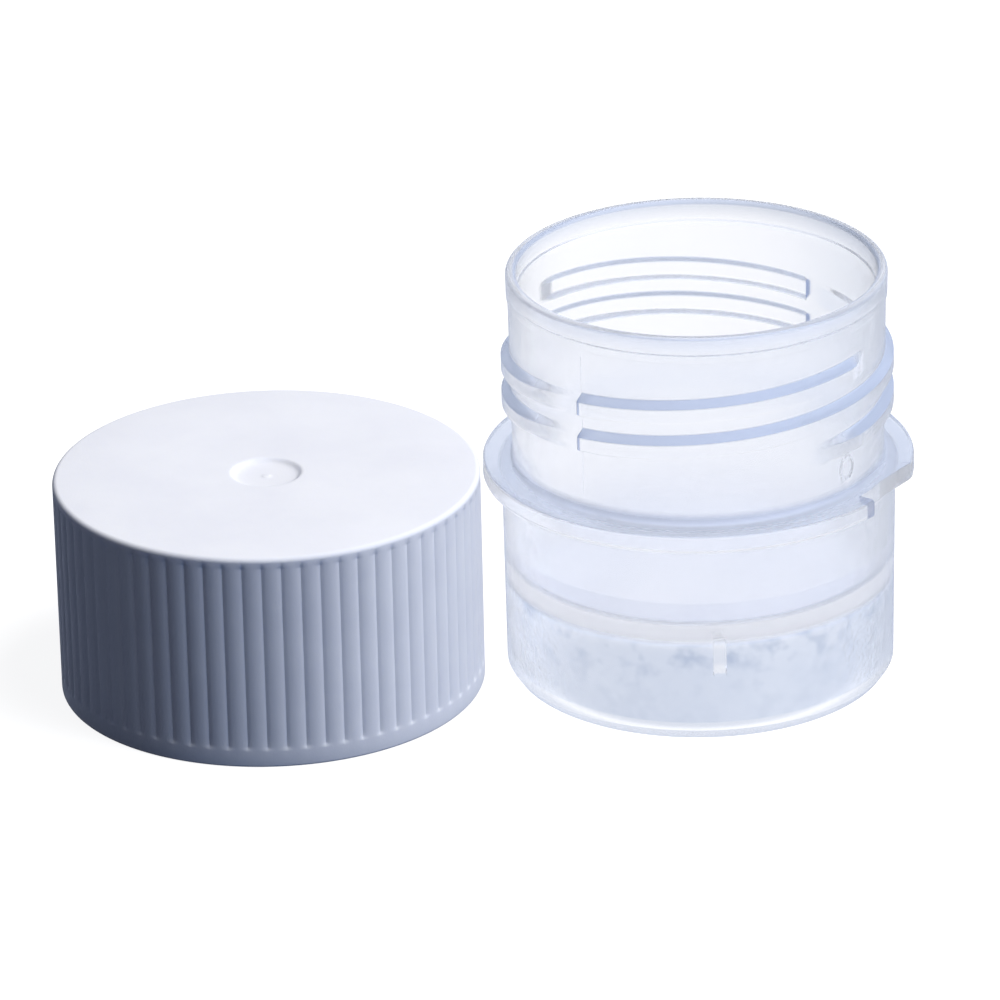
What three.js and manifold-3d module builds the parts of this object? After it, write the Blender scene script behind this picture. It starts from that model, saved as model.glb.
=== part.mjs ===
// Wide-mouth screw-cap sample container, 30 ml class, with its ribbed cap set down beside it.
//
// Three pieces: the translucent container with its two-start neck thread, the white ribbed
// screw cap with the matching female thread, and the sealing wad that sits under the cap's top.
//
// Millimetres, +Z up. The container and the cap both stand on z = 0. The origin is on that plane,
// at the middle of the pair's outline. +X runs from the cap towards the container.
// Angles are measured about each piece's own axis from -Y towards +X, in degrees.

import * as THREE from 'three';
import { mergeVertices } from 'three/addons/utils/BufferGeometryUtils.js';
import Module from 'manifold-3d';

// ---------------------------------------------------------------- driving dimensions

// container, from the foot up
const FOOT_R = 19.85;            // outer radius just above the foot rounding
const FOOT_ROUND = 1.2;
const SKIRT_BORE_R = 18.0;       // the open skirt under the raised floor
const FLOOR_UNDER_Z = 10.4;
const FLOOR_TOP_Z = 11.9;
const FLOOR_FILLET = 1.1;
const BODY_R = 20.0;             // outer radius just under the flange
const FLANGE_R = 21.9;
const FLANGE_Z0 = 21.4;
const FLANGE_Z1 = 23.25;
const FLANGE_EDGE = 0.3;
const NECK_R0 = 18.85;           // thread root radius above the flange
const NECK_R1 = 19.05;           // thread root radius below the lip band
const LIP_BAND_Z = 40.65;        // fine ledge under the lip band
const LIP_R = 19.22;
const CONTAINER_H = 43.43;
const LIP_BORE_R = 18.15;        // bore above the inner step
const INNER_STEP_Z = 41.3;
const BORE_R1 = 18.0;            // bore just under the inner step
const BORE_R0 = 17.85;           // bore at the floor

// neck thread: two starts, right hand, broken at the two mould parting lines
const THREAD_LEAD = 7.6;         // per turn
const THREAD_PITCH = THREAD_LEAD / 2;
const THREAD_CREST_R = 19.85;
const PARTING_DEG = -39;         // the second parting line is half a turn on
const THREAD_TOP_Z = 34.72;      // middle of the top ridge at its blunt start
const MALE_SECTION = [[-1.22, 0], [-0.7, 1], [0.7, 1], [1.35, 0]]; // [height from the middle, 0 root or 1 crest]

// notch in the flange, for a key
const NOTCH_WALL_DEG = 51.5;
const NOTCH_END_DEG = 79;

// small lug inside the skirt
const LUG_DEG = 5.5;
const LUG_W = 1.05;
const LUG_Z0 = 7.0;
const LUG_DEPTH = 0.9;

// cap
const CAP_R = 21.7;
const CAP_H = 22.8;
const CAP_TOP_ROUND = 1.0;
const BAND_H = 1.75;             // plain band at the open end
const REEDS = 69;
const REED_DEPTH = 0.15;
const REED_VALLEY_DEG = -0.32;   // one valley lies here
const CAP_BORE_R = 20.05;
const CEILING_Z = 21.2;
const FEMALE_CREST_R = 19.25;
const FEMALE_SECTION = [[-0.95, 0], [-0.45, 1], [0.45, 1], [0.95, 0]];
const FEMALE_START_Z = 3.4;      // middle of each female ridge at its open end
const FEMALE_SWEEP_DEG = 330;
const DIMPLE_R = 3.55;
const DIMPLE_DEPTH = 0.55;

// sealing wad
const WAD_R = 19.0;
const WAD_T = 1.0;

// how the two stand beside each other
const SIDE_GAP = 0.3;            // between the flange's edge and the cap's side
const CAP_FORWARD = 1.92;        // the cap stands this much nearer the front than the container
const FIT_GAP = 0.3;

const CONTAINER_SEGMENTS = 48;
const CAP_SEGMENTS = 72;

// ---------------------------------------------------------------- derived places

const axisDistance = FLANGE_R + CAP_R + SIDE_GAP;
const acrossX = Math.sqrt(axisDistance ** 2 - CAP_FORWARD ** 2);
const containerAt = [(acrossX + CAP_R - FLANGE_R) / 2, (CAP_FORWARD + CAP_R - FLANGE_R) / 2];
const capAt = [containerAt[0] - acrossX, containerAt[1] - CAP_FORWARD];

const rad = THREE.MathUtils.degToRad;
const around = (r, deg) => [r * Math.sin(rad(deg)), -r * Math.cos(rad(deg))];

// ---------------------------------------------------------------- solids

const wasm = await Module();
wasm.setup();

// A closed three.js geometry as a solid: shared vertices merged, collapsed faces dropped, faces turned outwards.
function solid(geometry) {
  const g = geometry.clone();
  for (const name of Object.keys(g.attributes)) if (name !== 'position') g.deleteAttribute(name);
  const merged = mergeVertices(g, 1e-4);
  const p = merged.attributes.position.array;
  const tris = [];
  let volume = 0;
  const idx = merged.index.array;
  for (let i = 0; i < idx.length; i += 3) {
    const [a, b, c] = [idx[i], idx[i + 1], idx[i + 2]];
    if (a === b || b === c || a === c) continue;
    tris.push(a, b, c);
    const A = new THREE.Vector3().fromArray(p, a * 3);
    const B = new THREE.Vector3().fromArray(p, b * 3);
    const C = new THREE.Vector3().fromArray(p, c * 3);
    volume += A.dot(B.cross(C)) / 6;
  }
  if (volume < 0) for (let i = 0; i < tris.length; i += 3) [tris[i + 1], tris[i + 2]] = [tris[i + 2], tris[i + 1]];
  return new wasm.Manifold(new wasm.Mesh({
    numProp: 3, vertProperties: new Float32Array(p), triVerts: new Uint32Array(tris),
  }));
}

// A solid of revolution about +Z from [radius, height] points that start and end on the axis.
function revolve(points, segments) {
  const g = new THREE.LatheGeometry(points.map(([r, z]) => new THREE.Vector2(r, z)), segments);
  g.rotateX(Math.PI / 2);
  return solid(g);
}

// An upright prism from an outline.
function prism(outline, z0, z1) {
  const shape = new THREE.Shape(outline.map(([x, y]) => new THREE.Vector2(x, y)));
  const g = new THREE.ExtrudeGeometry(shape, { depth: z1 - z0, steps: 1, bevelEnabled: false });
  g.translate(0, 0, z0);
  return solid(g);
}

// A thread ridge: a straight extrusion of the section, wound round the axis.
// section is [height, 0 or 1] pairs, rootR and crestR the radii those mean, buriedR is inside the wall.
// height(turned) is the ridge's middle, full(turned) its share of full depth, both by degrees from the start.
function ridge(section, buriedR, rootR, crestR, startDeg, sweepDeg, stepDeg, height, full) {
  const outline = [
    [buriedR, section[0][0]], ...section.map(([h, k]) => [rootR + (crestR - rootR) * k, h]),
    [buriedR, section[section.length - 1][0]],
  ];
  const shape = new THREE.Shape(outline.map(([x, y]) => new THREE.Vector2(x, y)));
  const g = new THREE.ExtrudeGeometry(shape, {
    depth: sweepDeg, steps: Math.max(2, Math.round(sweepDeg / stepDeg)), bevelEnabled: false,
  });
  const at = g.attributes.position;
  for (let i = 0; i < at.count; i++) {
    const turned = at.getZ(i);
    const k = full(turned);
    const past = (at.getX(i) - rootR) / (crestR - rootR);
    const r = past > 0 ? rootR + (crestR - rootR) * (past * k - (1 - k) * 0.25) : at.getX(i);
    const [x, y] = around(r, startDeg + turned);
    at.setXYZ(i, x, y, at.getY(i) + height(turned));
  }
  return solid(g);
}

// Fades a ridge in over its first degrees and out over its last ones. A length of 0 leaves that end blunt.
const fade = (sweep, inDeg, outDeg, least = 0.1) => (t) => {
  const a = inDeg > 0 ? Math.min(1, t / inDeg) : 1;
  const b = outDeg > 0 ? Math.min(1, (sweep - t) / outDeg) : 1;
  const k = Math.min(a, b);
  return least + (1 - least) * k * k * (3 - 2 * k);
};

function mesh(name, manifold, [x, y], material) {
  const m = manifold.getMesh();
  const g = new THREE.BufferGeometry();
  g.setAttribute('position', new THREE.BufferAttribute(new Float32Array(m.vertProperties), 3));
  g.setIndex(new THREE.BufferAttribute(new Uint32Array(m.triVerts), 1));
  g.computeVertexNormals();
  const out = new THREE.Mesh(g, material);
  out.name = name;
  out.position.set(x, y, 0);
  return out;
}

// ---------------------------------------------------------------- container

// The open skirt, foot, wall, flange, neck, rounded lip, bore and raised floor, as one revolved wall.
const f = FOOT_ROUND;
let container = revolve([
  [0, FLOOR_UNDER_Z], [SKIRT_BORE_R - 0.4, FLOOR_UNDER_Z], [SKIRT_BORE_R, FLOOR_UNDER_Z - 0.4],
  [SKIRT_BORE_R, 0], [FOOT_R - f, 0],
  [FOOT_R - f * 0.5, f * 0.134], [FOOT_R - f * 0.134, f * 0.5], [FOOT_R, f],
  [BODY_R, FLANGE_Z0 - 0.5], [BODY_R + 0.15, FLANGE_Z0 - 0.15], [BODY_R + 0.5, FLANGE_Z0],
  [FLANGE_R - FLANGE_EDGE, FLANGE_Z0], [FLANGE_R, FLANGE_Z0 + FLANGE_EDGE],
  [FLANGE_R, FLANGE_Z1 - FLANGE_EDGE], [FLANGE_R - FLANGE_EDGE, FLANGE_Z1],
  [NECK_R0 + 0.5, FLANGE_Z1], [NECK_R0 + 0.12, FLANGE_Z1 + 0.15], [NECK_R0, FLANGE_Z1 + 0.5],
  [NECK_R1, LIP_BAND_Z], [LIP_R - 0.03, LIP_BAND_Z + 0.12], [LIP_R, CONTAINER_H - 0.5],
  [LIP_R - 0.16, CONTAINER_H - 0.15], [(LIP_R + LIP_BORE_R) / 2, CONTAINER_H],
  [LIP_BORE_R + 0.16, CONTAINER_H - 0.15], [LIP_BORE_R, CONTAINER_H - 0.5],
  [LIP_BORE_R, INNER_STEP_Z + 0.15], [BORE_R1, INNER_STEP_Z],
  [BORE_R0, FLOOR_TOP_Z + FLOOR_FILLET], [BORE_R0 - FLOOR_FILLET * 0.3, FLOOR_TOP_Z + FLOOR_FILLET * 0.3],
  [BORE_R0 - FLOOR_FILLET, FLOOR_TOP_Z], [0, FLOOR_TOP_Z],
], CONTAINER_SEGMENTS);

// Each half of the neck carries three ridges, one pitch apart. [ridge, starts at, turns through, fade in, fade out]
const HALF_RIDGES = [[0, 0, 98, 0, 14], [1, 0, 177, 0, 24], [2, 74, 103, 20, 24]];
for (const half of [0, 180]) {
  for (const [k, from, sweep, fadeIn, fadeOut] of HALF_RIDGES) {
    container = container.add(ridge(
      MALE_SECTION, 18.45, 18.95, THREAD_CREST_R, PARTING_DEG + half + from, sweep, 8,
      (t) => THREAD_TOP_Z - k * THREAD_PITCH + ((from + t) / 360) * THREAD_LEAD,
      fade(sweep, fadeIn, fadeOut),
    ));
  }
}

// The key notch: a radial wall, and a straight floor that runs out through the flange's edge.
container = container.subtract(prism([
  around(BODY_R + 0.05, NOTCH_WALL_DEG), around(FLANGE_R + 2, NOTCH_WALL_DEG),
  around(FLANGE_R + 2, (NOTCH_WALL_DEG + NOTCH_END_DEG) / 2), around(FLANGE_R + 0.3, NOTCH_END_DEG + 2),
  around(BODY_R + 0.2, 66), around(BODY_R + 0.05, 60),
], FLANGE_Z0 - 0.2, FLANGE_Z1 + 0.2));

// The lug on the skirt's inner wall, under the floor.
const lug = solid(new THREE.BoxGeometry(LUG_W, LUG_DEPTH + 0.6, FLOOR_UNDER_Z + 0.3 - LUG_Z0)
  .translate(0, -(SKIRT_BORE_R + (0.6 - LUG_DEPTH) / 2), (LUG_Z0 + FLOOR_UNDER_Z + 0.3) / 2)
  .rotateZ(rad(LUG_DEG)));
container = container.add(lug);

// ---------------------------------------------------------------- cap

const c = CAP_TOP_ROUND;
const reedRoot = CAP_R - REED_DEPTH - 0.05;
let cap = revolve([
  [0, 0], [CAP_R - 0.2, 0], [CAP_R, 0.2], [CAP_R, BAND_H], [reedRoot, BAND_H + 0.1],
  [reedRoot, CAP_H - c - 0.1], [CAP_R, CAP_H - c], [CAP_R - c * 0.134, CAP_H - c * 0.5],
  [CAP_R - c * 0.5, CAP_H - c * 0.134], [CAP_R - c, CAP_H],
  [DIMPLE_R, CAP_H], [DIMPLE_R * 0.72, CAP_H - DIMPLE_DEPTH * 0.5],
  [DIMPLE_R * 0.36, CAP_H - DIMPLE_DEPTH * 0.88], [0, CAP_H - DIMPLE_DEPTH],
], CAP_SEGMENTS);

// The reeds: rounded crests that meet in sharp valleys.
const reedOutline = [];
for (let i = 0; i < REEDS; i++) {
  for (const [share, depth] of [[0, 1], [0.3, 0.14], [0.7, 0.14]]) {
    reedOutline.push(around(CAP_R - REED_DEPTH * depth, REED_VALLEY_DEG + ((i + share) * 360) / REEDS));
  }
}
cap = cap.add(prism(reedOutline, BAND_H - 0.2, CAP_H - c + 0.02));

// The hollow under the top, with a small lead-in at the open end.
cap = cap.subtract(revolve([
  [0, -1], [CAP_BORE_R + 0.35, -1], [CAP_BORE_R + 0.35, 0.1], [CAP_BORE_R, 0.6],
  [CAP_BORE_R, CEILING_Z - 0.5], [CAP_BORE_R - 0.5, CEILING_Z], [0, CEILING_Z],
], CONTAINER_SEGMENTS));

for (const start of [0, 180]) {
  cap = cap.add(ridge(
    FEMALE_SECTION, CAP_BORE_R + 0.5, CAP_BORE_R, FEMALE_CREST_R, start, FEMALE_SWEEP_DEG, 12,
    (t) => FEMALE_START_Z + (t / 360) * THREAD_LEAD, fade(FEMALE_SWEEP_DEG, 16, 16),
  ));
}

// ---------------------------------------------------------------- sealing wad

const wadTop = CEILING_Z - FIT_GAP;
const wad = revolve([
  [0, wadTop - WAD_T], [WAD_R - 0.12, wadTop - WAD_T], [WAD_R, wadTop - WAD_T + 0.12],
  [WAD_R, wadTop - 0.12], [WAD_R - 0.12, wadTop], [0, wadTop],
], CONTAINER_SEGMENTS);

// ---------------------------------------------------------------- the object

const group = new THREE.Group();
group.add(
  mesh('container_body', container, containerAt, new THREE.MeshStandardMaterial({
    color: 0xdfe6f4, roughness: 0.32, metalness: 0, transparent: true, opacity: 0.6,
  })),
  mesh('screw_cap', cap, capAt, new THREE.MeshStandardMaterial({ color: 0xeef0f7, roughness: 0.55, metalness: 0 })),
  mesh('cap_liner', wad, capAt, new THREE.MeshStandardMaterial({ color: 0xf4f3ee, roughness: 0.8, metalness: 0 })),
);

export default group;
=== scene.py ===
import math

import bpy
import numpy as np
from mathutils import Matrix, Vector


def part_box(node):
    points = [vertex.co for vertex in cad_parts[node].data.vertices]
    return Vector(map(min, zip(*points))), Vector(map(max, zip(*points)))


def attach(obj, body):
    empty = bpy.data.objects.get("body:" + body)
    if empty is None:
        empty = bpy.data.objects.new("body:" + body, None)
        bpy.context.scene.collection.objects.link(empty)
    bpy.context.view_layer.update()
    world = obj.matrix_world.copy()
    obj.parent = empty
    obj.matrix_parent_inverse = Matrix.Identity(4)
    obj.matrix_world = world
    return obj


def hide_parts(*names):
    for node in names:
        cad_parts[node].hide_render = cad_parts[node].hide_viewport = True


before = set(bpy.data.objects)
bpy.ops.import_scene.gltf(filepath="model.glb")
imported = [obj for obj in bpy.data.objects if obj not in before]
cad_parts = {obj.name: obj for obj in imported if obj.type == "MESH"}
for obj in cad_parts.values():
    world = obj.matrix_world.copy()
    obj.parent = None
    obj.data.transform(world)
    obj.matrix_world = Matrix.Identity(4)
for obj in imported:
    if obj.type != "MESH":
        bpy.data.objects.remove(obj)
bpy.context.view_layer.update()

MM = 0.001


def middle(node):
    lo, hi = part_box(node)
    return (lo.x + hi.x) / 2, (lo.y + hi.y) / 2


# Both axes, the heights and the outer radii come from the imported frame, in millimetres from here on.
CONTAINER_AT = tuple(v / MM for v in middle("container_body"))
CAP_AT = tuple(v / MM for v in middle("screw_cap"))
c_lo, c_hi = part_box("container_body")
k_lo, k_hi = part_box("screw_cap")
w_lo, w_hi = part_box("cap_liner")
CONTAINER_H = c_hi.z / MM
FLANGE_R = (c_hi.x - c_lo.x) / 2 / MM
CAP_H = k_hi.z / MM
CAP_R = (k_hi.x - k_lo.x) / 2 / MM
WAD_R = (w_hi.x - w_lo.x) / 2 / MM
WAD_Z0, WAD_Z1 = w_lo.z / MM, w_hi.z / MM


# ---------------------------------------------------------------- mesh tools

def smooth(t):
    t = np.clip(t, 0.0, 1.0)
    return t * t * (3 - 2 * t)


def rounded(corners, steps=5):
    """Points along a profile of (radius, height, rounding) corners, each corner with a rounding turned into an arc."""
    out = []
    n = len(corners)
    for i, (x, y, rho) in enumerate(corners):
        if rho <= 0 or i in (0, n - 1):
            out.append((x, y))
            continue
        p = np.array([x, y], float)
        a = np.array(corners[i - 1][:2], float) - p
        b = np.array(corners[i + 1][:2], float) - p
        la, lb = np.linalg.norm(a), np.linalg.norm(b)
        a, b = a / la, b / lb
        half = math.acos(np.clip(a @ b, -1, 1)) / 2
        t = min(rho / math.tan(half), la * 0.499, lb * 0.499)
        rho = t * math.tan(half)
        centre = p + (a + b) / np.linalg.norm(a + b) * (rho / math.sin(half))
        s, e = p + a * t - centre, p + b * t - centre
        turn = math.acos(np.clip(s @ e / (np.linalg.norm(s) * np.linalg.norm(e)), -1, 1))
        for k in range(steps + 1):
            f = k / steps
            q = (math.sin((1 - f) * turn) * s + math.sin(f * turn) * e) / max(math.sin(turn), 1e-9) if turn > 1e-6 else s
            out.append(tuple(centre + q))
    return out


def filled(points, longest):
    """The same profile with points added along any stretch longer than `longest`."""
    out = [points[0]]
    for a, b in zip(points, points[1:]):
        n = max(1, math.ceil(math.hypot(b[0] - a[0], b[1] - a[1]) / longest))
        out += [(a[0] + (b[0] - a[0]) * k / n, a[1] + (b[1] - a[1]) * k / n) for k in range(1, n + 1)]
    return out


def columns(step, extra):
    """Sorted angles in degrees round the circle: an even step, and finer ones where a feature needs them."""
    base = set(np.round(np.arange(0, 360, step), 4))
    for a in extra:
        base.add(round(float(a) % 360, 4))
    out = []
    for a in sorted(base):
        if not out or a - out[-1] > 0.03:
            out.append(a)
    return np.array(out)


def ring(points, phi):
    """radius, height and angle arrays for a profile turned through every angle."""
    r = np.array([p[0] for p in points], float)[:, None] * np.ones(len(phi))
    z = np.array([p[1] for p in points], float)[:, None] * np.ones(len(phi))
    return r, z, np.ones(len(points))[:, None] * phi


class Shell:
    """One closed mesh, gathered from grids of points round an axis. Points that meet are merged and collapsed faces dropped."""

    def __init__(self, at):
        self.at, self.points, self.faces, self.marks, self.haze, self.count = at, [], [], [], [], 0

    def add(self, r, z, phi, mark=0, shift=0, haze=0.0):
        """A grid of rows by columns, closed round the axis. With a shift, the last column joins the first that many rows on."""
        rows, cols = r.shape
        a = np.radians(phi)
        p = np.stack([self.at[0] + r * np.sin(a), self.at[1] - r * np.cos(a), z], -1).reshape(-1, 3)
        i, j = np.meshgrid(np.arange(rows - 1), np.arange(cols), indexing="ij")
        last = j == cols - 1
        up = np.where(last, shift, 0)
        nxt = (j + 1) % cols
        quad = np.stack([i * cols + j, (i + up) * cols + nxt, (i + 1 + up) * cols + nxt, (i + 1) * cols + j], -1)
        ok = (i + 1 + up < rows) & (i + up >= 0)
        quad = quad[ok]
        mark = np.asarray(mark)
        if mark.ndim < 2:
            mark = np.broadcast_to(mark, (rows - 1,))[:, None] * np.ones((rows - 1, cols), int)
        marks = mark
        self.points.append(p)
        # per-point painted shade value, which the wall material turns into darker, less clear plastic
        self.haze.append((np.zeros_like(r) + haze).reshape(-1))
        self.faces.append(quad.reshape(-1, 4) + self.count)
        self.marks.append(marks[ok].reshape(-1))
        self.count += len(p)

    def stitch(self, r, z, phi_a, phi_b, gap, mark=0):
        """A flat strip between two rings at the same height with different column angles: ring a at radius r, b at r + gap."""
        a, b = np.sort(phi_a), np.sort(phi_b)
        angles = np.radians(np.concatenate([a, b]))
        radii = np.concatenate([np.full(len(a), r), np.full(len(b), r + gap)])
        p = np.stack([self.at[0] + radii * np.sin(angles), self.at[1] - radii * np.cos(angles), np.full(len(radii), z)], -1)
        i = j = 0
        tris = []
        while i < len(a) or j < len(b):
            next_a = a[(i + 1) % len(a)] + 360 * ((i + 1) // len(a))
            next_b = b[(j + 1) % len(b)] + 360 * ((j + 1) // len(b))
            here_a, here_b = self.count + i % len(a), self.count + len(a) + j % len(b)
            if j >= len(b) or (i < len(a) and next_a <= next_b):
                tris.append((here_a, here_b, self.count + (i + 1) % len(a)))
                i += 1
            else:
                tris.append((here_a, here_b, self.count + len(a) + (j + 1) % len(b)))
                j += 1
        tris = np.array(tris)[:, ::-1] if gap > 0 else np.array(tris)
        self.points.append(p)
        self.haze.append(np.zeros(len(p)))
        self.faces.append(np.column_stack([tris, tris[:, 2]]))
        self.marks.append(np.full(len(tris), mark))
        self.count += len(p)

    def build(self, name, materials, sharp_deg=35):
        p = np.concatenate(self.points)
        key = np.round(p / 2e-4).astype(np.int64)
        _, first, inverse = np.unique(key, axis=0, return_index=True, return_inverse=True)
        inverse = inverse.reshape(-1)
        quads = inverse[np.concatenate(self.faces)]
        marks = np.concatenate(self.marks).astype(int)
        faces, kept, seen = [], [], set()
        for q, m in zip(quads.tolist(), marks.tolist()):
            f = [v for k, v in enumerate(q) if v != q[k - 1]]
            if len(set(f)) < 3 or len(set(f)) != len(f):
                continue
            tag = frozenset(f)
            if tag in seen:
                continue
            seen.add(tag)
            faces.append(f)
            kept.append(m)
        mesh = bpy.data.meshes.new(name)
        mesh.from_pydata((p[first] * MM).tolist(), [], faces)
        for m in materials:
            mesh.materials.append(m)
        mesh.polygons.foreach_set("material_index", np.minimum(kept, len(materials) - 1).astype(np.int32))
        mesh.polygons.foreach_set("use_smooth", np.ones(len(faces), bool))
        # stores the per-point painted shade value for the material
        layer = mesh.attributes.new("haze", "FLOAT", "POINT")
        layer.data.foreach_set("value", np.concatenate(self.haze)[first].astype(np.float32))
        mesh.validate(clean_customdata=False)
        mesh.set_sharp_from_angle(angle=math.radians(sharp_deg))
        mesh.update()
        o = bpy.data.objects.new(name, mesh)
        bpy.context.scene.collection.objects.link(o)
        return o


# ---------------------------------------------------------------- materials

def material(name):
    m = bpy.data.materials.new(name)
    m.use_nodes = True
    nt = m.node_tree
    nt.nodes.clear()
    out = nt.nodes.new("ShaderNodeOutputMaterial")
    p = nt.nodes.new("ShaderNodeBsdfPrincipled")
    nt.links.new(p.outputs[0], out.inputs["Surface"])
    return m, nt, p


def noise(nt, scale, detail=3.0, rough=0.5, distortion=0.0):
    """Noise in the row's own space: scale is features per millimetre."""
    tc = nt.nodes.new("ShaderNodeTexCoord")
    n = nt.nodes.new("ShaderNodeTexNoise")
    n.inputs["Scale"].default_value = scale / MM
    n.inputs["Detail"].default_value = detail
    n.inputs["Roughness"].default_value = rough
    n.inputs["Distortion"].default_value = distortion
    nt.links.new(tc.outputs["Object"], n.inputs["Vector"])
    return n.outputs["Fac"]


def ramp(nt, source, lo, hi, a, b):
    """Maps source from lo..hi to the numbers a..b."""
    m = nt.nodes.new("ShaderNodeMapRange")
    m.inputs["From Min"].default_value, m.inputs["From Max"].default_value = lo, hi
    m.inputs["To Min"].default_value, m.inputs["To Max"].default_value = a, b
    nt.links.new(source, m.inputs["Value"])
    return m.outputs["Result"]


def two_colours(nt, source, a, b):
    m = nt.nodes.new("ShaderNodeMix")
    m.data_type = "RGBA"
    nt.links.new(source, m.inputs[0])
    m.inputs[6].default_value, m.inputs[7].default_value = (*a, 1), (*b, 1)
    return m.outputs[2]


def bumped(nt, p, layers):
    """Stacks bump layers of (height source, depth in mm)."""
    normal = None
    for source, depth in layers:
        b = nt.nodes.new("ShaderNodeBump")
        b.inputs["Strength"].default_value = 1.0
        b.inputs["Distance"].default_value = depth * MM
        nt.links.new(source, b.inputs["Height"])
        if normal is not None:
            nt.links.new(normal, b.inputs["Normal"])
        normal = b.outputs["Normal"]
    nt.links.new(normal, p.inputs["Normal"])


def natural_pp(name, tint_a, tint_b, rough_a, rough_b, transmission, bump, painted_shade_look=None, blotches=0.0):
    """Natural polypropylene: most of the light goes through a hazy surface, the rest scatters back.
    The optional (tint, transmission) pair is painted shade: darker, less clear plastic laid on where the mesh's
    per-point shade value says."""
    m, nt, p = material(name)
    cloud = noise(nt, 0.10, 4, 0.55)
    colour = two_colours(nt, ramp(nt, cloud, 0.32, 0.68, 0, 1), tint_a, tint_b)
    if blotches:
        tc = nt.nodes.new("ShaderNodeTexCoord")
        split = nt.nodes.new("ShaderNodeSeparateXYZ")
        nt.links.new(tc.outputs["Object"], split.inputs[0])
        high = ramp(nt, split.outputs["Z"], 5.0 * MM, 9.0 * MM, 0.25, 1.0)
        spots = ramp(nt, noise(nt, 0.42, 4, 0.5, 0.15), 0.48, 0.68, 0, blotches)
        both = nt.nodes.new("ShaderNodeMath")
        both.operation = "MULTIPLY"
        nt.links.new(high, both.inputs[0])
        nt.links.new(spots, both.inputs[1])
        dull = nt.nodes.new("ShaderNodeMix")
        dull.data_type = "RGBA"
        nt.links.new(both.outputs[0], dull.inputs[0])
        nt.links.new(colour, dull.inputs[6])
        dull.inputs[7].default_value = (0.36, 0.44, 0.60, 1)
        colour = dull.outputs[2]
    # painted shade: the mesh's per-point shade value mixes in a dark blue tint and lowers the transmission
    if painted_shade_look:
        value = nt.nodes.new("ShaderNodeAttribute")
        value.attribute_name = "haze"
        painted_shade_mix = nt.nodes.new("ShaderNodeMix")
        painted_shade_mix.data_type = "RGBA"
        nt.links.new(value.outputs["Fac"], painted_shade_mix.inputs[0])
        nt.links.new(colour, painted_shade_mix.inputs[6])
        painted_shade_mix.inputs[7].default_value = (*painted_shade_look[0], 1)
        colour = painted_shade_mix.outputs[2]
        nt.links.new(ramp(nt, value.outputs["Fac"], 0, 1, transmission, painted_shade_look[1]), p.inputs["Transmission Weight"])
    else:
        p.inputs["Transmission Weight"].default_value = transmission
    nt.links.new(colour, p.inputs["Base Color"])
    grain = noise(nt, 1.6, 3, 0.6)
    nt.links.new(ramp(nt, grain, 0.3, 0.7, rough_a, rough_b), p.inputs["Roughness"])
    p.inputs["IOR"].default_value = 1.49
    bumped(nt, p, bump(nt))
    return m


# the wall's last pair is the painted shade: a dark blue tint and lower transmission
pp_wall = natural_pp(
    "natural_pp", (0.955, 0.962, 0.98), (0.968, 0.974, 0.988), 0.22, 0.27, 0.95,
    lambda nt: [(noise(nt, 0.25, 2, 0.5), 0.02)], painted_shade_look=((0.50, 0.58, 0.76), 0.58),
)
pp_frosted = natural_pp(
    "natural_pp_frosted", (0.68, 0.74, 0.85), (0.84, 0.88, 0.95), 0.22, 0.27, 0.90,
    lambda nt: [(noise(nt, 0.6, 4, 0.6, 0.6), 0.08)], blotches=1.0,
)
pp_floor = natural_pp(
    "natural_pp_floor", (0.79, 0.808, 0.872), (0.835, 0.85, 0.905), 0.22, 0.27, 0.86,
    lambda nt: [(noise(nt, 0.25, 2, 0.5), 0.03)],
)
# painted shade: dark blue, less clear plastic laid on the end faces of the ridges' blunt starts and on the key notch's
# end wall
pp_end_shade = natural_pp(
    "natural_pp_painted_end_shade", (0.10, 0.15, 0.30), (0.13, 0.19, 0.36), 0.20, 0.25, 0.42,
    lambda nt: [(noise(nt, 0.6, 2, 0.6), 0.01)],
)


def white_pe(name, a, b, rough_a, rough_b):
    m, nt, p = material(name)
    cloud = noise(nt, 0.12, 4, 0.55)
    nt.links.new(two_colours(nt, ramp(nt, cloud, 0.32, 0.68, 0, 1), a, b), p.inputs["Base Color"])
    grain = noise(nt, 4.0, 3, 0.6)
    nt.links.new(ramp(nt, grain, 0.3, 0.7, rough_a, rough_b), p.inputs["Roughness"])
    p.inputs["IOR"].default_value = 1.5
    p.inputs["Specular IOR Level"].default_value = 0.1
    p.inputs["Subsurface Weight"].default_value = 0.25
    p.inputs["Subsurface Radius"].default_value = (1.0, 1.0, 1.1)
    p.inputs["Subsurface Scale"].default_value = 0.6 * MM
    bumped(nt, p, [(noise(nt, 0.25, 2, 0.5), 0.03), (noise(nt, 3.5, 4, 0.7), 0.010)])
    return m


cap_white = white_pe("white_pe", (0.80, 0.81, 0.86), (0.84, 0.85, 0.89), 0.50, 0.65)


def foam():
    m, nt, p = material("wad_foam")
    tc = nt.nodes.new("ShaderNodeTexCoord")
    cells = nt.nodes.new("ShaderNodeTexVoronoi")
    cells.inputs["Scale"].default_value = 3.2 / MM
    nt.links.new(tc.outputs["Object"], cells.inputs["Vector"])
    nt.links.new(
        two_colours(nt, ramp(nt, cells.outputs["Distance"], 0.0, 0.6, 0, 1), (0.78, 0.77, 0.72), (0.86, 0.85, 0.81)),
        p.inputs["Base Color"],
    )
    nt.links.new(ramp(nt, noise(nt, 2.5), 0.3, 0.7, 0.6, 0.8), p.inputs["Roughness"])
    bumped(nt, p, [(cells.outputs["Distance"], 0.02), (noise(nt, 0.5), 0.03)])
    return m


wad_foam = foam()


# ---------------------------------------------------------------- container

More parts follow.
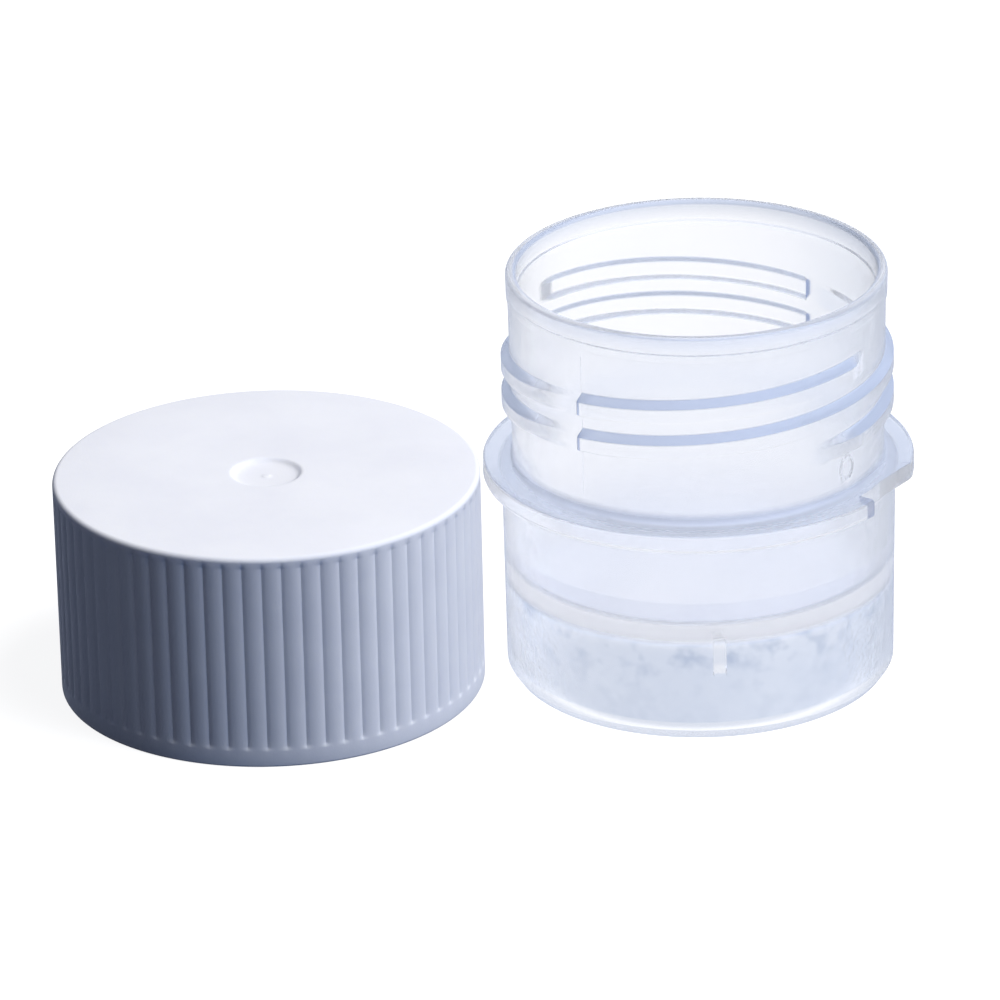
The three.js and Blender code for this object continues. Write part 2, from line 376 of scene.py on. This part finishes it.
PARTING = -39.0
PITCH, LEAD = 3.8, 7.6
THREAD_TOP = 34.72
CREST_R = 19.85
HALF_RIDGES = ((0, 0.0, 98.0, 0.0, 10.0), (1, 0.0, 177.0, 0.0, 26.0), (2, 74.0, 103.0, 20.0, 26.0))
NOTCH_WALL, NOTCH_END = 51.5, 79.0
LUG_AT, LUG_W, LUG_DEPTH = 4.3, 1.15, 0.5
MARK_AT, MARK_Z, MARK_R = 50.0, 26.15, 1.25

fine = []
for line in (PARTING, PARTING + 180):
    fine += [line + d for d in (-1.1, -0.7, -0.4, -0.22, -0.1, 0.0, 0.1, 0.22, 0.4, 0.7, 1.1)]
fine += [NOTCH_WALL + d for d in (-0.5, -0.25, -0.1, 0.0, 0.1, 0.25, 0.5)]
fine += list(np.arange(52.5, 81, 0.75))
fine += list(np.arange(MARK_AT - 5.2, MARK_AT + 5.2, 0.35))
lug_half = math.degrees(LUG_W / 2 / 18.0)
fine += [LUG_AT + s * (lug_half + d) for s in (-1, 1) for d in (-0.25, -0.1, 0.0, 0.1, 0.25, 0.5)]
PHI = columns(1.5, fine)


def neck_r(z):
    return 18.85 + (19.05 - 18.85) * (z - 23.75) / (40.65 - 23.75)


def section(h):
    """The ridge's height above the root, 0 to 1, by distance from its middle: straight flanks with small roundings."""
    a = np.clip((h + 1.24) / 0.56, 0, 1)
    b = np.clip((1.38 - h) / 0.70, 0, 1)
    ease = lambda t: 0.55 * t + 0.45 * t * t * (3 - 2 * t)
    return np.minimum(ease(a), ease(b))


def threads(z, phi):
    """How far the thread stands out from the neck."""
    out = np.zeros_like(z)
    for half in (0.0, 180.0):
        psi = (phi - PARTING - half) % 360
        for k, start, sweep, fade_in, fade_out in HALF_RIDGES:
            t = psi - start
            inside = (t > -0.25) & (t < sweep)
            a = smooth(t / fade_in) if fade_in > 0 else smooth((t + 0.12) / 0.24)
            b = smooth((sweep - t) / fade_out)
            h = z - (THREAD_TOP - k * PITCH + psi / 360 * LEAD)
            grow = np.minimum(a, b)
            out = np.maximum(out, np.where(inside, section(h) * grow, 0))
    return out


def upper_flank_shade(z, phi):
    """Painted shade on the upward flank of every ridge: 1 there, fading with the ridge."""
    out = np.zeros_like(z)
    for half in (0.0, 180.0):
        psi = (phi - PARTING - half) % 360
        for k, start, sweep, fade_in, fade_out in HALF_RIDGES:
            t = psi - start
            inside = (t > 0.0) & (t < sweep)
            a = smooth(t / max(fade_in, 0.3))
            b = smooth((sweep - t) / fade_out)
            h = z - (THREAD_TOP - k * PITCH + psi / 360 * LEAD)
            band = smooth((h - 0.58) / 0.12) * smooth((1.46 - h) / 0.12)
            out = np.maximum(out, np.where(inside, band * np.minimum(a, b), 0))
    return out


def parting_bead(phi, width_deg=0.22, height=0.035):
    d = np.minimum(np.abs((phi - PARTING + 90) % 180 - 90), 9)
    return height * smooth(1 - d / width_deg)


def notch_limit(phi):
    """The flange's outer limit inside the key notch."""
    a = np.radians(phi)
    p0 = np.array([20.2 * math.sin(math.radians(66)), -20.2 * math.cos(math.radians(66))])
    p1 = np.array([21.8 * math.sin(math.radians(NOTCH_END)), -21.8 * math.cos(math.radians(NOTCH_END))])
    d = (p1 - p0) / np.linalg.norm(p1 - p0)
    n = np.array([d[1], -d[0]])
    chord = (n @ p0) / np.maximum(n[0] * np.sin(a) - n[1] * np.cos(a), 1e-6)
    chord = np.maximum(chord, 20.04)
    wall = smooth((phi - (NOTCH_WALL - 0.1)) / 0.2)
    inside = (phi > NOTCH_WALL - 0.3) & (phi < 84)
    return np.where(inside, 30 + (np.minimum(chord, 30) - 30) * wall, 30.0)


container = Shell(CONTAINER_AT)

# The foot, skirt, wall, flange and the fillet at the foot of the neck.
lower = filled(rounded([
    (0, 10.4, 0), (18.0, 10.4, 0.9), (18.0, 0.0, 0.2), (19.05, 0.0, 0.35), (19.82, 1.12, 0.25), (20.0, 21.4, 0.35),
    (FLANGE_R, 21.4, 0.32), (FLANGE_R, 23.25, 0.32), (18.85, 23.25, 0.5), (neck_r(24.6), 24.6, 0),
]), 1.6)
extra_z = [1.5, 6.3, 6.6, 6.9, 7.2, 7.5, 7.8, 8.1]
low = []
for a, b in zip(lower, lower[1:]):
    low.append(a)
    if a[0] > 19.5 and b[0] > 19.5 and a[1] < b[1] and b[1] < 21.4:
        t = lambda z: a[0] + (b[0] - a[0]) * (z - a[1]) / (b[1] - a[1])
        low += [(t(z), z) for z in (1.5, 11.0) if a[1] < z < b[1]]
    if abs(a[0] - 18.0) < 1e-3 and abs(b[0] - 18.0) < 1e-3:
        for z in sorted(extra_z, reverse=True):
            if min(a[1], b[1]) < z < max(a[1], b[1]):
                low.append((18.0, z))
low.append(lower[-1])
lower = low
r, z, phi = ring(lower, PHI)
rows = np.arange(len(lower))
foot_row = next(i for i, p in enumerate(lower) if p[1] < 1e-6)          # first row on the foot plane
skirt_side = (rows < foot_row + 1)[:, None]
lug = skirt_side * smooth(1 - (np.abs((phi - LUG_AT + 180) % 360 - 180) - lug_half) / 0.2 - 0.0) * smooth((z - 6.4) / 1.6)
lug = np.where((r > 15.5) & skirt_side, lug, 0)
r = r - lug * LUG_DEPTH * smooth((r - 16.5) / 1.2)
wall_side = (~skirt_side[:, 0])[:, None]
r = np.where(wall_side, r + np.where(z > 22.0, parting_bead(phi, 0.22, 0.015), 0) * smooth((24.5 - z) / 0.3), r)
r = np.where((z > 21.0) & wall_side, np.minimum(r, notch_limit(phi)), r)
marks = np.array([
    0 if i >= foot_row - 1 or a[1] < 1.6 else 1 if a[0] > 17.0 and b[1] < 10.0 else 3
    for i, (a, b) in enumerate(zip(lower, lower[1:]))
])
# painted shade: a dark band on the flange's top where it meets the neck, and a dark outline along the foot's outer edge
flange_and_foot_shade = np.array([smooth((h - 23.10) / 0.14) * smooth((24.1 - h) / 0.35) if i > foot_row else 0.0 for i, (_, h) in enumerate(lower)])
foot_edge_shade = np.array([0.9 * smooth((0.22 - h) / 0.2) if i >= foot_row and q > 18.6 else 0.0 for i, (q, h) in enumerate(lower)])
flange_and_foot_shade = np.maximum(flange_and_foot_shade, foot_edge_shade / 0.75)
# painted shade: the key notch's end wall on the flange takes the dark thread-end material
flange_rows = np.array([min(a[0], b[0]) > 20.05 and 21.3 < min(a[1], b[1]) for a, b in zip(lower, lower[1:])])
notch_face_shade = np.abs((PHI + np.roll(PHI, -1)) / 2 - NOTCH_WALL) < 0.12
marks = np.where(flange_rows[:, None] & notch_face_shade[None, :], 2, marks[:, None])
lug_face = lug[:-1] + lug[1:] > 0.5
marks = np.where(lug_face & np.roll(lug_face, -1, axis=1), 0, marks)
container.add(r, z, phi, marks, haze=0.75 * flange_and_foot_shade[:, None])

# The threaded neck: rows follow the thread's helix, and stop at two level edges.
H = np.array([
    -1.40, -1.30, -1.24, -1.18, -1.10, -1.00, -0.90, -0.80, -0.73, -0.68, -0.62, -0.45, -0.2, 0.05, 0.3, 0.5,
    0.62, 0.68, 0.74, 0.84, 0.96, 1.08, 1.20, 1.29, 1.35, 1.41, 1.52, 1.70, 1.90, 2.10, 2.28,
])
z_low, z_high = lower[-1][1], 40.4
first = -6
turns = range(first, 5)
helix = np.concatenate([THREAD_TOP + k * PITCH + H for k in turns])
phi = np.ones(len(helix))[:, None] * PHI
psi = (PHI - PARTING) % 360
start = int(np.argmin(psi))
order = np.roll(np.arange(len(PHI)), -start)
psi_sorted = psi[order]
zz = helix[:, None] + (psi_sorted / 360 * LEAD)[None, :]
pp = np.ones(len(helix))[:, None] * PHI[order]
zz = np.clip(zz, z_low, z_high)
rr = neck_r(zz)
edge = smooth((zz - z_low) / 0.6) * smooth((z_high - zz) / 0.6)
rr = rr + threads(zz, pp) * (CREST_R - rr) * edge
seam = np.where((np.abs(pp - PARTING) < 5) | (np.abs(pp - PARTING - 360) < 5) | (zz < 24.8), parting_bead(pp), 0)
rr = rr + seam * edge * (1 - threads(zz, pp))
d_mm = np.radians((pp - MARK_AT + 180) % 360 - 180) * 19.0
away = np.hypot(d_mm / 0.78, zz - MARK_Z)
rr = rr + 0.13 * smooth(1 - np.abs(away - MARK_R) / 0.26) * (away < 3)
# the blunt starts of the ridges get painted shade: their end faces take the dark thread-end material
tall = threads(zz, pp + 0.3) > 0.25
t_mid = (pp + np.roll(pp, -1, axis=1)) / 2
t_mid = (t_mid - PARTING + 90) % 180 - 90
end_face_shade = ((t_mid > -0.13) & (t_mid < 0.24))[:-1] & tall[:-1] & tall[1:]
# the upward flanks of the ridges get painted shade through the shade value
container.add(rr, zz, pp, np.where(end_face_shade, 2, 0), shift=2 * len(H), haze=upper_flank_shade(zz, pp))

# The lip band, the full-round lip, the step inside it, the bore, the fillet and the raised floor.
upper = filled(rounded([
    (neck_r(z_high), z_high, 0), (neck_r(40.6), 40.6, 0.05), (19.19, 40.74, 0.06), (19.24, CONTAINER_H, 0.52),
    (18.13, CONTAINER_H, 0.52), (18.15, 41.36, 0.08), (17.98, 41.2, 0.1), (17.85, 11.9, 1.1), (0, 11.9, 0),
], 6), 1.6)
r, z, phi = ring(upper, PHI)
# painted shade: dark lines inside the lip, on its outer top, at the ledge under the lip band and at the step inside it
inner_lip_shade = smooth((18.62 - r) / 0.2) * smooth((z - 42.75) / 0.3)
outer_lip_shade = smooth((r - 19.0) / 0.1) * smooth((z - 43.0) / 0.2) * 0.5
ledge_shade = smooth(1 - np.abs(z - 40.66) / 0.09) * (r > 19.0) * 0.5
step = smooth(1 - np.abs(z - 41.28) / 0.12) * (r < 18.3) * 0.6
container.add(r, z, phi, np.array([3 if b[1] < 13.0 else 0 for b in upper[1:]]), haze=np.maximum.reduce([0.9 * inner_lip_shade, outer_lip_shade, ledge_shade, step]))
body = container.build("container_moulding", [pp_wall, pp_frosted, pp_end_shade, pp_floor])
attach(body, "container")
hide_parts("container_body")
body.visible_shadow = False  # milky plastic: the lamp lights what stands behind it
body.visible_diffuse = False


# ---------------------------------------------------------------- cap

REEDS, REED_DEPTH, VALLEY = 69, 0.15, -0.32
BAND = 1.75
ACROSS = np.array([-0.40, -0.28, -0.18, -0.10, -0.045, 0.0, 0.045, 0.10, 0.18, 0.28, 0.40, 0.5])
CAP_PHI = np.sort((VALLEY + (np.arange(REEDS)[:, None] + ACROSS[None, :]).reshape(-1) * 360 / REEDS) % 360)
INNER_PHI = np.arange(0, 360, 1.5)


def reed(phi):
    """Depth below the crest, 0 to 1: broad flat reeds with a narrow rounded valley between them."""
    v = np.abs(((phi - VALLEY) / (360 / REEDS) + 0.5) % 1.0 - 0.5)
    low = math.exp(-0.5 / 0.165)
    return (np.exp(-np.sqrt(v ** 2 + 0.02 ** 2) / 0.165) * math.exp(0.02 / 0.165) - low) / (1 - low)


cap = Shell(CAP_AT)
bottom = rounded([(20.6, 0.0, 0), (CAP_R, 0.0, 0.25), (CAP_R, BAND - 0.02, 0)], 5)
side = bottom + [(CAP_R, zc) for zc in (
    BAND + 0.08, BAND + 0.18, BAND + 0.29, BAND + 0.41, BAND + 0.55, 3.0, 5.0, 8.0, 11.0, 14.0, 17.0, 19.5, 20.9,
    21.4, 21.48, 21.56, 21.64, 21.7, 21.76,
)]
top = rounded([(CAP_R, 21.77, 0), (CAP_R, CAP_H, 1.02), (14.0, CAP_H, 0)], 9)[1:]
dimple = [(3.9, CAP_H), (3.72, CAP_H - 0.005), (3.6, CAP_H - 0.045), (3.46, CAP_H - 0.15), (3.3, CAP_H - 0.28),
          (3.14, CAP_H - 0.375), (2.9, CAP_H - 0.43), (2.4, CAP_H - 0.46), (1.8, CAP_H - 0.48), (1.2, CAP_H - 0.49),
          (0.75, CAP_H - 0.50), (0.5, CAP_H - 0.49), (0.42, CAP_H - 0.46), (0.34, CAP_H - 0.43), (0.2, CAP_H - 0.42),
          (0.0, CAP_H - 0.42)]
outer = side + top + [(10.0, CAP_H), (6.5, CAP_H), (4.6, CAP_H)] + dimple
r, z, phi = ring(outer, CAP_PHI)
groove = CAP_R - REED_DEPTH * reed(phi) * smooth((z - BAND) / 0.55) * smooth((22.15 - z) / 0.55)
r = np.where((z > BAND) & (r > 20.0), np.minimum(r, groove), r)
cap.add(r, z, phi, 0)

# Inside: the ceiling, the bore with its two-start thread, and the lead-in at the open end.
CAP_BORE, FEMALE_R, CEILING = 20.05, 19.25, 21.2
FEMALE_Z, FEMALE_SWEEP = 3.4, 330.0
FH = np.array([-1.05, -0.95, -0.85, -0.7, -0.55, -0.45, -0.3, 0.0, 0.3, 0.45, 0.55, 0.7, 0.85, 0.95, 1.05, 1.3, 1.7, 2.1, 2.5])


def female(z, phi):
    out = np.zeros_like(z)
    for begin in (0.0, 180.0):
        for turn in (0.0, 360.0):
            t = (phi - begin) % 360 + turn
            h = z - (FEMALE_Z + t / 360 * LEAD)
            a = np.clip((0.98 - np.abs(h)) / 0.52, 0, 1)
            grow = smooth(t / 14) * smooth((FEMALE_SWEEP - t) / 14)
            out = np.maximum(out, a * grow)
    return out


inner_low = rounded([(20.42, 0.0, 0), (CAP_BORE, 0.55, 0.1), (CAP_BORE, 1.6, 0)], 4)
inner_high = rounded([(CAP_BORE, 17.4, 0), (CAP_BORE, CEILING, 0.5), (0, CEILING, 0)], 5)
inner_high = filled(inner_high, 4.0)
r, z, phi = ring(inner_high[::-1], INNER_PHI)
cap.add(r, z, phi, 0)
zl, zh = 1.6, 17.4
helix = np.concatenate([FEMALE_Z + k * PITCH + FH for k in range(-3, 5)])
zz = helix[:, None] + (INNER_PHI / 360 * LEAD)[None, :]
pp = np.ones(len(helix))[:, None] * INNER_PHI
zz = np.clip(zz, zl, zh)
rr = CAP_BORE - (CAP_BORE - FEMALE_R) * female(zz, pp) * smooth((zz - zl) / 0.4) * smooth((zh - zz) / 0.4)
# this wall faces the axis, so its rows run downwards: the columns join one turn lower
cap.add(rr[::-1], zz[::-1], pp[::-1], 0, shift=-2 * len(FH))
r, z, phi = ring(inner_low[::-1], INNER_PHI)
cap.add(r, z, phi, 0)
cap.stitch(20.42, 0.0, INNER_PHI, CAP_PHI, 0.18)
shell = cap.build("cap_moulding", [cap_white], sharp_deg=28)
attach(shell, "cap")
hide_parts("screw_cap")


# ---------------------------------------------------------------- sealing wad

wad = Shell(CAP_AT)
profile = filled(rounded([
    (0, WAD_Z0, 0), (WAD_R, WAD_Z0, 0.18), (WAD_R, WAD_Z1, 0.18), (0, WAD_Z1, 0),
], 4), 1.2)
r, z, phi = ring(profile, columns(2.5, []))
# the lip of a container leaves a shallow ring pressed into the wad's face
pressed = np.exp(-(((r - 18.6) / 0.45) ** 2)) * 0.06 + np.exp(-(((r - 8.0) / 9.0) ** 2)) * 0.015
z = np.where(np.abs(z - WAD_Z0) < 1e-6, z + pressed * (r < WAD_R - 0.15), z)
wad.add(r, z, phi, 0)
disc = wad.build("sealing_wad", [wad_foam])
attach(disc, "liner")
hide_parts("cap_liner")


# ---------------------------------------------------------------- stage, light, camera

def by_ray(nt, seen, mirrored, matt):
    """seen: straight to the camera or through the plastic. mirrored: in a surface's sheen. matt: what lights matt surfaces."""
    path = nt.nodes.new("ShaderNodeLightPath")

    def passed(depth):
        m = nt.nodes.new("ShaderNodeMath")
        m.operation = "GREATER_THAN"
        m.inputs[1].default_value = 0.5
        nt.links.new(path.outputs[depth], m.inputs[0])
        return m.outputs[0]

    direct = nt.nodes.new("ShaderNodeMath")
    direct.operation = "MAXIMUM"
    nt.links.new(path.outputs["Is Camera Ray"], direct.inputs[0])
    nt.links.new(passed("Transmission Depth"), direct.inputs[1])
    first = nt.nodes.new("ShaderNodeMixShader")
    nt.links.new(passed("Diffuse Depth"), first.inputs[0])
    nt.links.new(mirrored, first.inputs[1])
    nt.links.new(matt, first.inputs[2])
    last = nt.nodes.new("ShaderNodeMixShader")
    nt.links.new(direct.outputs[0], last.inputs[0])
    nt.links.new(first.outputs[0], last.inputs[1])
    nt.links.new(seen, last.inputs[2])
    return last.outputs[0]


def make_floor():
    mesh = bpy.data.meshes.new("studio_floor")
    s = 3.0
    mesh.from_pydata([(-s, -s, 0), (s, -s, 0), (s, s, 0), (-s, s, 0)], [], [(0, 1, 2, 3)])
    m = bpy.data.materials.new("pale_floor")
    m.use_nodes = True
    nt = m.node_tree
    nt.nodes.clear()
    out = nt.nodes.new("ShaderNodeOutputMaterial")
    lit = nt.nodes.new("ShaderNodeBsdfDiffuse")
    lit.inputs["Color"].default_value = (0.30, 0.30, 0.30, 1)
    glow = nt.nodes.new("ShaderNodeEmission")
    glow.inputs["Color"].default_value = (1.0, 1.0, 1.0, 1)
    glow.inputs["Strength"].default_value = 0.90
    both = nt.nodes.new("ShaderNodeAddShader")
    nt.links.new(lit.outputs[0], both.inputs[0])
    nt.links.new(glow.outputs[0], both.inputs[1])
    # through the plastic: a painted shadow, the ground a little darker under the container and close to it, most on the
    # camera's side
    tc = nt.nodes.new("ShaderNodeTexCoord")
    away = nt.nodes.new("ShaderNodeVectorMath")
    away.operation = "DISTANCE"
    away.inputs[1].default_value = (CONTAINER_AT[0] * MM, CONTAINER_AT[1] * MM, 0)
    nt.links.new(tc.outputs["Object"], away.inputs[0])
    split = nt.nodes.new("ShaderNodeSeparateXYZ")
    nt.links.new(tc.outputs["Object"], split.inputs[0])
    front = (CONTAINER_AT[1] + 4) * MM
    back = (CONTAINER_AT[1] + 14) * MM
    under = two_colours(nt, ramp(nt, split.outputs["Y"], front, back, 0, 1), (0.76, 0.80, 0.89), (0.92, 0.925, 0.96))
    # painted highlight on the ground, seen through the plastic at the foot
    glint = nt.nodes.new("ShaderNodeMath")     # a thin light line just inside the foot, on the camera's side
    glint.operation = "MULTIPLY"
    nt.links.new(ramp(nt, away.outputs["Value"], 0.01585, 0.01605, 0, 1), glint.inputs[0])
    nt.links.new(ramp(nt, away.outputs["Value"], 0.01655, 0.01675, 1, 0), glint.inputs[1])
    fore = nt.nodes.new("ShaderNodeMath")
    fore.operation = "MULTIPLY"
    nt.links.new(glint.outputs[0], fore.inputs[0])
    nt.links.new(ramp(nt, split.outputs["Y"], (CONTAINER_AT[1] - 4) * MM, CONTAINER_AT[1] * MM, 1, 0), fore.inputs[1])
    line = nt.nodes.new("ShaderNodeMix")
    line.data_type = "RGBA"
    nt.links.new(fore.outputs[0], line.inputs[0])
    nt.links.new(under, line.inputs[6])
    line.inputs[7].default_value = (1.3, 1.3, 1.32, 1)
    under = line.outputs[2]
    tone_node = nt.nodes.new("ShaderNodeMix")
    tone_node.data_type = "RGBA"
    nt.links.new(ramp(nt, away.outputs["Value"], 0.016, 0.030, 0, 1), tone_node.inputs[0])
    nt.links.new(under, tone_node.inputs[6])
    # painted shade: the ground seen through the plastic turns darker and bluer to the container's right
    across = ramp(nt, split.outputs["X"], (CONTAINER_AT[0] + 16) * MM, (CONTAINER_AT[0] + 23) * MM, 0, 1)
    beyond = two_colours(nt, across, (1.09, 1.09, 1.11), (0.86, 0.90, 0.99))
    nt.links.new(beyond, tone_node.inputs[7])
    tone = tone_node.outputs[2]
    ground = nt.nodes.new("ShaderNodeEmission")
    nt.links.new(tone, ground.inputs["Color"])
    path = nt.nodes.new("ShaderNodeLightPath")
    seen = nt.nodes.new("ShaderNodeMixShader")
    nt.links.new(path.outputs["Is Camera Ray"], seen.inputs[0])
    nt.links.new(ground.outputs[0], seen.inputs[1])
    nt.links.new(both.outputs[0], seen.inputs[2])
    mirrored = nt.nodes.new("ShaderNodeEmission")
    mirrored.inputs["Color"].default_value = (0.55, 0.62, 0.80, 1)
    dim = nt.nodes.new("ShaderNodeBsdfDiffuse")
    dim.inputs["Color"].default_value = (0.035, 0.04, 0.055, 1)
    nt.links.new(by_ray(nt, seen.outputs[0], mirrored.outputs[0], dim.outputs[0]), out.inputs["Surface"])
    m.cycles.emission_sampling = "NONE"
    mesh.materials.append(m)
    o = bpy.data.objects.new("studio_floor", mesh)
    bpy.context.scene.collection.objects.link(o)
    o.location.z = -0.00002


make_floor()

world = bpy.data.worlds.new("studio")
bpy.context.scene.world = world
world.use_nodes = True
world.cycles.sampling_method = "NONE"
nt = world.node_tree
nt.nodes.clear()
out = nt.nodes.new("ShaderNodeOutputWorld")
bright = nt.nodes.new("ShaderNodeBackground")
tc = nt.nodes.new("ShaderNodeTexCoord")
side = nt.nodes.new("ShaderNodeVectorMath")
side.operation = "DOT_PRODUCT"
side.inputs[1].default_value = (0.62, 0.35, 0.70)
nt.links.new(tc.outputs["Generated"], side.inputs[0])
level = nt.nodes.new("ShaderNodeMapRange")
level.interpolation_type = "SMOOTHSTEP"
level.inputs["From Min"].default_value, level.inputs["From Max"].default_value = -0.55, 0.45
nt.links.new(side.outputs["Value"], level.inputs["Value"])
tone = nt.nodes.new("ShaderNodeMix")
tone.data_type = "RGBA"
tone.inputs[6].default_value, tone.inputs[7].default_value = (0.36, 0.43, 0.60, 1), (0.99, 0.99, 1.0, 1)
nt.links.new(level.outputs["Result"], tone.inputs[0])
nt.links.new(tone.outputs[2], bright.inputs["Color"])
bright.inputs["Strength"].default_value = 1.18
sheen = nt.nodes.new("ShaderNodeBackground")
sheen.inputs["Color"].default_value = (0.55, 0.62, 0.80, 1)
dark = nt.nodes.new("ShaderNodeBackground")
dark.inputs["Color"].default_value = (0.55, 0.66, 1.0, 1)
dark.inputs["Strength"].default_value = 0.13
nt.links.new(by_ray(nt, bright.outputs[0], sheen.outputs[0], dark.outputs[0]), out.inputs["Surface"])


def softbox(name, azimuth, elevation, distance, size, power, colour):
    """azimuth is measured from -Y (the camera's side) towards +X."""
    a, e = math.radians(azimuth), math.radians(elevation)
    way = Vector((math.sin(a) * math.cos(e), -math.cos(a) * math.cos(e), math.sin(e)))
    data = bpy.data.lights.new(name, "AREA")
    data.shape = "RECTANGLE"
    data.size, data.size_y = size
    data.energy = power
    data.color = colour
    o = bpy.data.objects.new(name, data)
    bpy.context.scene.collection.objects.link(o)
    o.location = Vector((0, 0, 0.015)) + way * distance
    o.rotation_mode = "QUATERNION"
    o.rotation_quaternion = way.to_track_quat("Z", "Y")
    o.visible_transmission = False
    return o


key = softbox("key_softbox", 76, 56, 1.30, (0.92, 0.92), 23.0, (1.0, 0.99, 0.98))
key.visible_glossy = False
fill = softbox("cool_fill", 55, 2, 1.30, (0.5, 0.3), 3.6, (0.03, 0.34, 1.0))
fill.visible_glossy = False

# The camera stands 0.74 m off and looks down about 24 degrees.
TH, ROLL = 0.4134, -0.0231
TX, TY, TZ = 19.869, -16.6958, 743.6429
s, c = math.sin(TH), math.cos(TH)
offset = (CONTAINER_AT[0] - 0.367, CONTAINER_AT[1])
eye = Vector((-TX + offset[0], -TY * s - TZ * c + offset[1], -TY * c + TZ * s)) * MM
right, up, ahead = Vector((1, 0, 0)), Vector((0, s, c)), Vector((0, c, -s))
right_c = right * math.cos(ROLL) + up * math.sin(ROLL)
up_c = -right * math.sin(ROLL) + up * math.cos(ROLL)
cam_data = bpy.data.cameras.new("camera")
cam_data.sensor_width = 36
cam_data.lens = 7.2305 * 36
cam_data.clip_start, cam_data.clip_end = 0.01, 20
cam = bpy.data.objects.new("camera", cam_data)
bpy.context.scene.collection.objects.link(cam)
m = Matrix.Identity(4)
for i in range(3):
    m[i][0], m[i][1], m[i][2], m[i][3] = right_c[i], up_c[i], -ahead[i], eye[i]
cam.matrix_world = m
bpy.context.scene.camera = cam
bpy.context.scene.view_settings.view_transform = "Standard"
look = bpy.context.scene.cycles
look.sample_clamp_indirect = 2.0
look.max_bounces, look.glossy_bounces, look.transmission_bounces = 16, 6, 14

bpy.context.view_layer.update()
